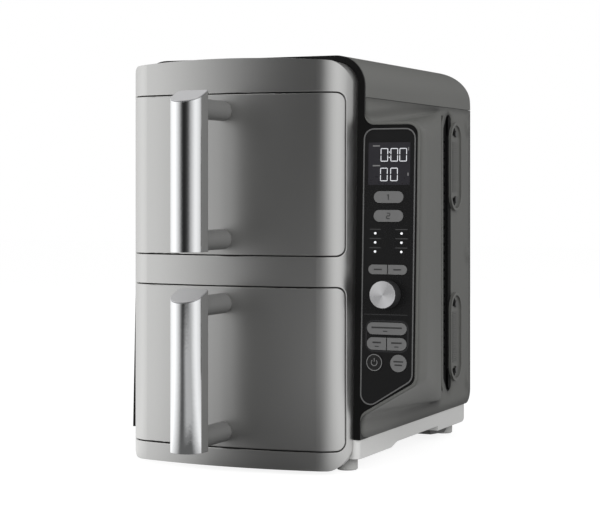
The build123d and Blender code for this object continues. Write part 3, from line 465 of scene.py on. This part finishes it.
def raised(name, outlines, low, high, place, material, body):
    """A thin print or plate: each outline is raised between two heights over its face."""
    form = bmesh.new()
    for outline in outlines:
        below = [form.verts.new((x, y, low)) for x, y in outline]
        above = [form.verts.new((x, y, high)) for x, y in outline]
        form.faces.new(list(reversed(below)))
        form.faces.new(above)
        count = len(outline)
        for index in range(count):
            after = (index + 1) % count
            form.faces.new((below[index], below[after], above[after], above[index]))
    form.transform(Matrix.Scale(mm, 4) @ place)
    return add_piece(name, form, material, body)


window_thickness = 0.06
print_thickness = 0.04
button_print = 0.05


def on_panel(name, outlines, material, body="main_unit", base=0.0, thickness=window_thickness):
    return raised(name, outlines, base, base + thickness, panel_frame, material, body)


def on_side(name, outlines, y, level, low, high, material):
    place = Matrix.Translation((side_x, y, level)) @ side_turn
    return raised(name, outlines, low, high, place, material, "main_unit")


# Display
def on_window(name, outlines, material):
    on_panel(name, outlines, material, base=window_thickness, thickness=print_thickness)


display_level = 97.0
upper_digits = 105.2
lower_digits = 87.0
digit_height = 12.4
digit_width = 7.4
digit_stroke = 0.72
on_panel("display_window", [soft_box(-0.2, display_level, 41.4, 39.4, 1.0)], display_dark)
digits = []
for digit_x in (-5.0, 4.8, 13.6):
    digits += digit_zero(digit_x, upper_digits, digit_width, digit_height, digit_stroke)
for digit_x in (-5.2, 4.8):
    digits += digit_zero(digit_x, lower_digits, digit_width, digit_height, digit_stroke)
for dot_y in (-2.6, 2.6):
    digits.append(soft_box(-0.1, upper_digits + dot_y, 1.1, 1.1, 0.5))
on_window("display_digits", digits, digit_white)
marks = [
    soft_box(-13.0, 113.6, 7.0, 1.2, 0.3),
    soft_box(-12.8, 95.2, 7.4, 1.2, 0.3),
    soft_box(18.8, 110.6, 0.9, 3.0, 0.3),
    soft_box(18.6, 87.2, 1.2, 3.0, 0.3),
]
on_window("display_marks", marks, print_grey)

# Prints on the panel itself
labels = []
for light_level in (32.5, 24.0, 15.5):
    for light_x, label_width in ((-13.0, 11.0), (13.0, 12.0)):
        labels.append(soft_box(light_x, light_level + 3.6, label_width, 0.8, 0.3))
on_panel("light_labels", labels, print_dim)
on_panel("panel_rule", [soft_box(-1.5, -42.6, 43.0, 0.5, 0.2)], print_dim)
outer = soft_box(0.0, -62.5, 42.6, 29.4, 7.6)
inner = soft_box(0.0, -62.5, 39.8, 26.6, 6.2)
surround = frame_halves(outer, inner)
on_panel("pill_surround", surround, surround_black, thickness=print_thickness)


# Prints on the buttons
def on_button(name, outlines, material, button):
    on_panel(name, outlines, material, button + "_key", button_face, button_print)


def numeral_one(x, y):
    return [stroke_bar(x, y, 5.6, 1.0, True), soft_box(x - 0.9, y + 1.9, 1.3, 0.8, 0.2)]


def numeral_two(x, y):
    stroke = 0.9
    width = 3.2
    height = 5.0
    return [
        stroke_bar(x, y + height / 2, width, stroke, False),
        stroke_bar(x + width / 2, y + height / 4, height / 2, stroke, True),
        stroke_bar(x, y, width, stroke, False),
        stroke_bar(x - width / 2, y - height / 4, height / 2, stroke, True),
        stroke_bar(x, y - height / 2, width, stroke, False),
    ]


def label_bar(x, y, width, height):
    return soft_box(x, y, width, height, wide_bar_corner if height > wide_bar else thin_bar_corner)


wide_bar = 1.0
wide_bar_corner = 0.4
thin_bar_corner = 0.3
button_bars = {
    "temperature": [(-9.6, -1.0, 8.0, 1.3)],
    "time": [(9.6, -1.0, 7.6, 1.3)],
    "both_zones": [(0.0, -54.6, 30.0, 1.5), (-1.5, -57.9, 4.4, 0.9)],
    "sync": [(-9.6, -68.4, 8.4, 1.5), (-9.6, -72.0, 4.0, 0.9)],
    "match": [(9.8, -68.4, 10.4, 1.5), (9.8, -72.0, 4.4, 0.9)],
    "start": [(11.9, -85.4, 9.6, 1.4), (11.9, -88.6, 7.4, 1.4)],
}
on_button("numeral_one", numeral_one(0.0, 66.0), print_dark, "zone_one")
on_button("numeral_two", numeral_two(0.0, 48.6), print_dark, "zone_two")
for button, bars in button_bars.items():
    on_button(button + "_label", [label_bar(*bar) for bar in bars], print_dark, button)
power_x = -11.9
power_y = -87.0
power_ring = 7.4
power_arc = 2.9
power_stroke = 0.7
power_mark = [
    arc_band(power_x, power_y, power_ring, power_stroke, 0.0, math.pi),
    arc_band(power_x, power_y, power_ring, power_stroke, math.pi, 2 * math.pi),
    arc_band(power_x, power_y, power_arc, power_stroke, math.radians(130), math.radians(410)),
    soft_box(power_x, power_y + 2.4, power_stroke, 3.4, 0.3),
]
on_button("power_mark", power_mark, print_grey, "power")


# Turned face of the knob
knob_dish = 0.3


def make_knob_face(thickness, steps=48):
    """A thin dished disc with a rounded rim, turned about the knob's axis."""
    round_off = thickness / 2
    profile = [(knob_edge, 0.0), (knob_edge, round_off), (knob_edge - round_off / 2, thickness)]
    profile += [(knob_edge * share, thickness - knob_dish * (1 - share)) for share in (0.9, 0.6, 0.3)]
    form = bmesh.new()
    rings = []
    turns = [2 * math.pi * step / steps for step in range(steps)]
    for radius, height in profile:
        ring = [(radius * math.cos(turn), knob_level + radius * math.sin(turn)) for turn in turns]
        rings.append([form.verts.new((x, y, knob_height + height)) for x, y in ring])
    for first, second in zip(rings, rings[1:]):
        for step in range(steps):
            after = (step + 1) % steps
            form.faces.new((first[step], first[after], second[after], second[step]))
    form.faces.new(list(reversed(rings[0])))
    form.faces.new(rings[-1])
    form.transform(Matrix.Scale(mm, 4) @ panel_frame)
    return add_piece("knob_face", form, spun_metal, "knob")


make_knob_face(0.6)


# Slanted caps on the handles
cap_inset = 0.5
cap_low = 0.15
cap_high = 1.0


def handle_outline(inset):
    half = handle_width / 2 - inset
    depth = handle_depth - inset
    points = []
    for step in range(25):
        turn = math.pi * (1 + step / 24)
        points.append((half * math.cos(turn), handle_bow + (handle_bow - inset) * math.sin(turn)))
    for side, first in ((1, 0.0), (-1, math.pi / 2)):
        for step in range(7):
            turn = first + math.pi / 2 * step / 6
            points.append((
                side * (half - handle_corner) + handle_corner * math.cos(turn),
                depth - handle_corner + handle_corner * math.sin(turn),
            ))
    return points


cap_outline = [(x, y / math.cos(handle_slant)) for x, y in handle_outline(cap_inset)]
cap_turn = Matrix.Rotation(handle_slant, 4, "X")
for level, base in drawer_bases.items():
    seat = Matrix.Translation((handle_x, handle_front, base + handle_rise)) @ cap_turn
    name = level + "_handle_cap"
    raised(name, [cap_outline], cap_low, cap_high, seat, cap_silver, level + "_drawer")

# Ribbed inserts and dark pockets in the side spacers
rib_pitch = 2.0
rib_count = 27
rib_top = spacer_floor + 0.8
rib_start = -rib_pitch * (rib_count - 1) / 2
ribs = [soft_box(-1.0, rib_start + rib_pitch * step, 14.0, 1.0, 0.3, 3) for step in range(rib_count)]
pocket_place = 37.0
pocket_top = spacer_floor + 1.2
pockets = [soft_box(-5.0, end * pocket_place, 5.0, 8.0, 1.5) for end in (-1, 1)]


def on_spacer(name, outlines, level, top, material):
    on_side(name, outlines, spacer_y, level, spacer_floor, top, material)


for number, level in enumerate(spacer_levels):
    ending = "_" + str(number + 1)
    on_spacer("spacer_ribs" + ending, ribs, level, rib_top, grey_shell)
    on_spacer("spacer_pockets" + ending, pockets, level, pocket_top, grille_black)


# Lip of the groove on the tapering end of the side cover, and black strips of painted shade along the
# groove's front and behind it, where the deep groove lies in shadow
cover_end = rim_y + 211.4
cover_end_height = 1.2
cover_taper = 0.365
shade_rise = 0.35
shade_thickness = 0.8
edge_start = cover_end - 7.0
shade_end = groove_front + 0.2
edge_low = groove_low - 19.0
edge_high = groove_high + 20.0
edge_middle = (edge_low + edge_high) / 2
lip_width = 6.0
lip_height = 2.0
lip_thickness = 0.5
lip_round = 10.0
lip_steps = 8
rear_shade_width = 8.0
rear_shade_y = groove_rear + 3.6
rear_shade_corner = 3.0


def cover_height(y):
    """How far the tapering cover stands out from the side at one depth."""
    return max(0.0, cover_end_height + cover_taper * (cover_end - y))


def strip_on_cover(name, columns, thickness, material):
    """An upright strip along the cover; each column is a depth, a height over the cover and two levels."""
    form = bmesh.new()
    rows = []
    for y, rise, low, high in columns:
        top = side_x + cover_height(y) + rise
        corners = ((top, low), (top, high), (top - thickness, high), (top - thickness, low))
        rows.append([form.verts.new((x, y, level)) for x, level in corners])
    for first, second in zip(rows, rows[1:]):
        for corner in range(4):
            after = (corner + 1) % 4
            form.faces.new((first[corner], second[corner], second[after], first[after]))
    form.faces.new(rows[0])
    form.faces.new(list(reversed(rows[-1])))
    bmesh.ops.recalc_face_normals(form, faces=form.faces)
    form.transform(Matrix.Scale(mm, 4))
    return add_piece(name, form, material, "main_unit")


# Painted shade: a thin black strip over the cover's tapering end, widening the dark of the groove where it
# lies in shadow
shade_places = (
    (edge_start, 6.0),
    (edge_start + 1.5, 2.0),
    (edge_start + 4.0, 0.0),
    (cover_end, 0.0),
    (shade_end, 0.0),
)
shade_columns = [(y, shade_rise, edge_low + cut, edge_high - cut) for y, cut in shade_places]
strip_on_cover("groove_painted_shade", shade_columns, shade_thickness, grille_black)
lip_columns = []
for step in range(lip_steps + 1):
    turn = math.pi * step / lip_steps
    lip_y = edge_start - lip_width / 2 * (1 + math.cos(turn))
    lip_end = lip_round * (1.0 - math.sin(turn))
    lip_columns.append((lip_y, lip_height * math.sin(turn), edge_low + lip_end, edge_high - lip_end))
strip_on_cover("groove_lip", lip_columns, lip_thickness, grey_shell)
# Painted shade: a black strip at the groove's rear edge, standing in for the shadow in the deep groove
rear_shade = soft_box(0.0, 0.0, rear_shade_width, edge_high - edge_low, rear_shade_corner)
on_side("groove_rear_painted_shade", [rear_shade], rear_shade_y, edge_middle, -0.5, 0.3, grille_black)


# Black foot of the band, round the lower front corner of the side cover
def corner_foot(width, height, steps=10):
    points = [(0.0, 0.0)]
    for step in range(steps + 1):
        turn = math.pi / 2 * step / steps
        points.append((width * (1 - math.sin(turn)), height * (1 - math.cos(turn))))
    return points


foot_y = rim_y - 12.0
on_side("band_foot", [corner_foot(20.0, 13.0)], foot_y, tray_top, 0.0, 0.4, black_shell)

# Painted shade under the tray, ahead of the rear foot: a dark block where the tray's recess lies in shadow
shade_outline = [(0.0, 10.0), (4.0, 3.0), (46.0, 0.0), (56.0, 4.0), (56.0, 10.0)]
on_side("tray_painted_shade", [shade_outline], rim_y + 212.0, 3.0, -32.0, -12.0, painted_shade_grey)


# Floor, light and camera
def stage_piece(name, points, faces, material):
    mesh = bpy.data.meshes.new(name)
    mesh.from_pydata(points, [], faces)
    mesh.materials.append(material)
    piece = bpy.data.objects.new(name, mesh)
    bpy.context.collection.objects.link(piece)
    return piece


def seen_directly(tree):
    """One for rays from the camera, from polished faces and through clear ones, and nought for the rest."""
    path = tree.nodes.new("ShaderNodeLightPath")
    seen = math_node(tree, "MAXIMUM", path.outputs["Is Camera Ray"], path.outputs["Is Glossy Ray"])
    return math_node(tree, "MAXIMUM", seen, path.outputs["Is Transmission Ray"])


floor_paint = grained("floor_paint", (0.25, 0.25, 0.25), 0.9, 40.0, 0.01, 0.005, 0.0, 0.0)
floor_tree = dull(floor_paint, 0.0).node_tree
floor_shader = floor_tree.nodes["Principled BSDF"]
floor_shader.inputs["Emission Color"].default_value = (1, 1, 1, 1)
floor_white = 0.86
floor_glow = math_node(floor_tree, "MULTIPLY", seen_directly(floor_tree), floor_white)
floor_tree.links.new(floor_glow, floor_shader.inputs["Emission Strength"])
reach = 6.0
floor_corners = [(-reach, -reach, 0), (reach, -reach, 0), (reach, reach, 0), (-reach, reach, 0)]
stage_piece("floor", floor_corners, [(0, 1, 2, 3)], floor_paint)

card_paint = bpy.data.materials.new("card_paint")
card_paint.use_nodes = True
card_shader = card_paint.node_tree.nodes["Principled BSDF"]
card_shader.inputs["Base Color"].default_value = (0, 0, 0, 1)
card_shader.inputs["Specular IOR Level"].default_value = 0.0
card_shader.inputs["Emission Strength"].default_value = 1.0
card_level = card_paint.node_tree.nodes.new("ShaderNodeVertexColor")
card_level.layer_name = "level"
card_paint.node_tree.links.new(card_level.outputs["Color"], card_shader.inputs["Emission Color"])

# Brightness of the studio round the object, by the angle from straight ahead
card_stops = (
    (-150, 0.7), (-110, 0.95), (-62, 1.25), (-50, 1.08), (-37, 0.78), (-26, 0.48),
    (-18, 0.17), (-10, 0.04), (-3, 0.02), (6, 0.03), (14, 0.06), (22, 0.15),
    (32, 0.42), (44, 0.66), (58, 0.9), (71, 0.98), (100, 0.8), (120, 0.5),
    (136, 0.45), (150, 0.62), (162, 0.55), (176, 0.13), (210, 0.04),
)
near_floor_level = 0.12
far_floor_stops = ((-150, 0.1), (-7, 0.1), (1, 0.3), (8, 0.46), (30, 0.46), (60, 0.3), (210, 0.3))


def level_at(stops, angle):
    for (start, low), (end, high) in zip(stops, stops[1:]):
        if angle <= end:
            return low + (high - low) * (angle - start) / (end - start)
    return stops[-1][1]


def card_brightness(angle):
    return level_at(card_stops, angle)


def near_floor(angle):
    return max(card_brightness(angle), near_floor_level)


def far_floor(angle):
    return max(card_brightness(angle), level_at(far_floor_stops, angle))


def graded_card(name, rows, steps=90):
    """A card on an arc, seen only in reflections; each row is a distance, a height and a brightness."""
    start = card_stops[0][0]
    end = card_stops[-1][0]
    points = []
    levels = []
    for step in range(steps + 1):
        angle = start + (end - start) * step / steps
        turn = math.radians(angle)
        for distance, height, shade in rows:
            points.append((distance * math.sin(turn), -distance * math.cos(turn), height))
            levels.append(shade(angle))
    count = len(rows)
    faces = []
    for step in range(steps):
        for row in range(count - 1):
            corner = step * count + row
            faces.append((corner, corner + count, corner + count + 1, corner + 1))
    card = stage_piece(name, points, faces, card_paint)
    colours = card.data.color_attributes.new("level", "FLOAT_COLOR", "POINT")
    for entry, level in zip(colours.data, levels):
        entry.color = (level, level, level, 1)
    card.visible_camera = False
    card.visible_diffuse = False
    card.visible_shadow = False
    card.visible_transmission = False


card_distance = 1.45
card_lift = 0.001
graded_card("wall_card", (
    (card_distance, 0.0, far_floor),
    (card_distance, 0.12, card_brightness),
    (card_distance, 1.7, card_brightness),
    (0.6, 2.6, card_brightness),
))
graded_card("floor_card", (
    (0.05, card_lift, card_brightness),
    (0.3, card_lift, near_floor),
    (0.45, card_lift, near_floor),
    (0.62, card_lift, far_floor),
    (card_distance, card_lift, far_floor),
))


light_aim = Vector((0, 0, 0.2))


def softbox(name, azimuth, distance, height, width, tall, power):
    lamp = bpy.data.lights.new(name, "AREA")
    lamp.shape = "RECTANGLE"
    lamp.size = width
    lamp.size_y = tall
    lamp.energy = power
    turn = math.radians(azimuth)
    place = Vector((distance * math.sin(turn), -distance * math.cos(turn), height))
    holder = bpy.data.objects.new(name, lamp)
    holder.location = place
    holder.rotation_euler = (light_aim - place).to_track_quat("-Z", "Y").to_euler()
    holder.visible_glossy = False
    bpy.context.collection.objects.link(holder)


softbox("left_softbox", -95, 1.8, 0.8, 1.2, 1.6, 8.0)
softbox("right_softbox", 54, 2.0, 0.9, 1.2, 1.2, 21.0)
softbox("front_softbox", 0, 2.2, 0.8, 1.4, 1.2, 20.0)
softbox("back_softbox", 180, 2.2, 1.0, 1.4, 1.2, 8.0)

world = bpy.data.worlds.new("studio")
bpy.context.scene.world = world
world.use_nodes = True
world_tree = world.node_tree
background = world_tree.nodes["Background"]
background.inputs["Color"].default_value = (1, 1, 1, 1)
room_light = 0.54
shown_light = math_node(world_tree, "MULTIPLY", seen_directly(world_tree), 1.0 - room_light)
world_tree.links.new(math_node(world_tree, "ADD", shown_light, room_light), background.inputs["Strength"])

scene = bpy.context.scene
scene.view_settings.view_transform = "Standard"
camera = bpy.data.cameras.new("camera")
camera.lens = 105.0
camera.sensor_width = 36.0
camera.shift_y = -0.13
eye = bpy.data.objects.new("camera", camera)
eye.location = (0.7011, -1.6175, 0.2644)
eye.rotation_euler = (math.radians(90), 0, math.radians(24))
bpy.context.collection.objects.link(eye)
scene.camera = eye
